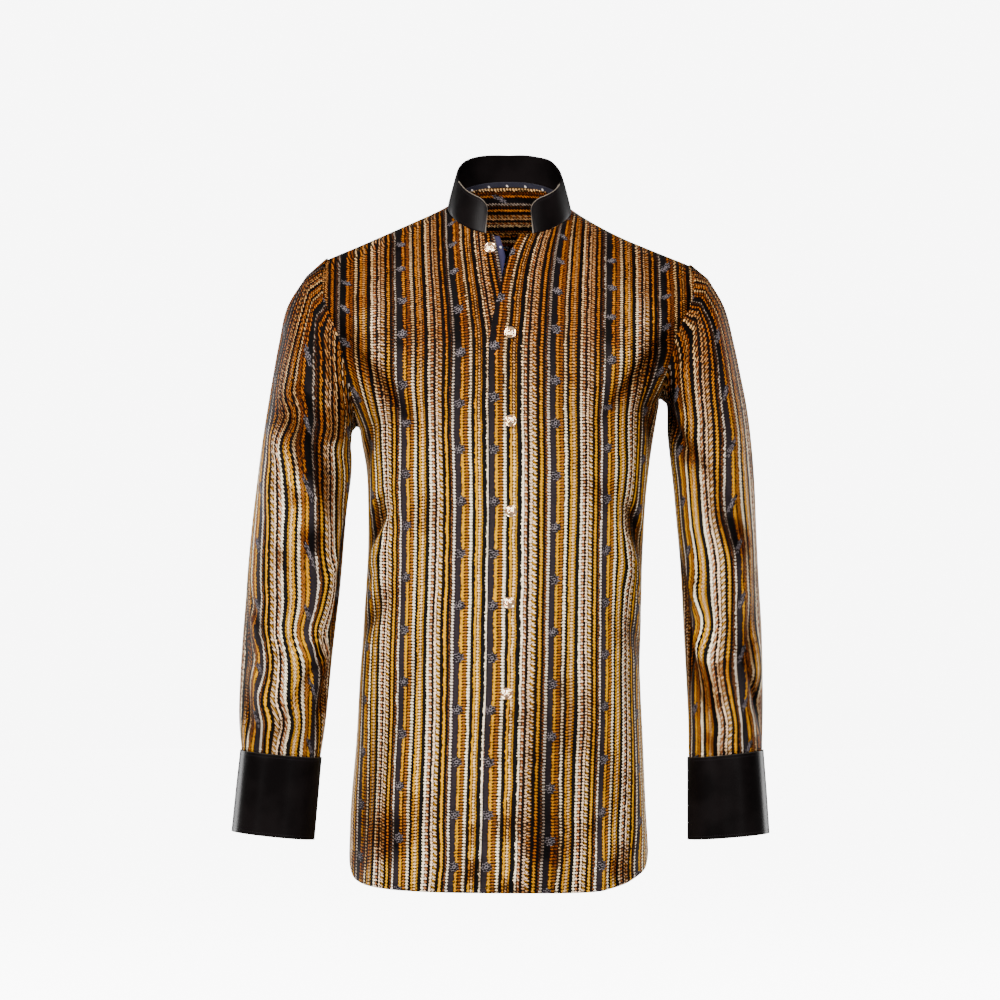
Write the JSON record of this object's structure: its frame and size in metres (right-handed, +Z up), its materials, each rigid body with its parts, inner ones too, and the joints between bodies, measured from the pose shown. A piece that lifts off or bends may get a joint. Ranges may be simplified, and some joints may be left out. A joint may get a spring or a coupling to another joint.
{
  "type": "stand-collar shirt",
  "caption": "Long-sleeved striped shirt with a black stand collar, tall black cuffs and gold buttons, filled out as worn and hollow.",
  "frame": {"origin": "middle of the neck base, between the two neck points of the shoulder seams, where the wearer holds the shirt up", "axes": "+Z up, -Y toward the front of the shirt, +X toward the wearer's left sleeve"},
  "size_m": [0.5946, 0.2373, 0.8213],
  "materials": {
    "striped_cloth": "printed cotton, cord stripes of black, gold, amber, tan and cream, soft sheen",
    "black_satin": "black satin with a soft sheen",
    "navy_cloth": "plain navy cotton",
    "gold_metal": "polished pale gold metal"
  },
  "bodies": {
    "root": {"front_left": "striped_cloth", "front_right": "striped_cloth", "back": "striped_cloth", "yoke": "striped_cloth", "sleeve_left": "striped_cloth", "sleeve_right": "striped_cloth", "collar": "black_satin", "cuff_left": "black_satin", "cuff_right": "black_satin", "facing_strip": "navy_cloth", "neck_tape": "navy_cloth", "button_1": "gold_metal", "button_2": "gold_metal", "button_3": "gold_metal", "button_4": "gold_metal", "button_5": "gold_metal", "button_6": "gold_metal", "cuff_button_left": "gold_metal", "cuff_button_right": "gold_metal"}
  },
  "joints": []
}
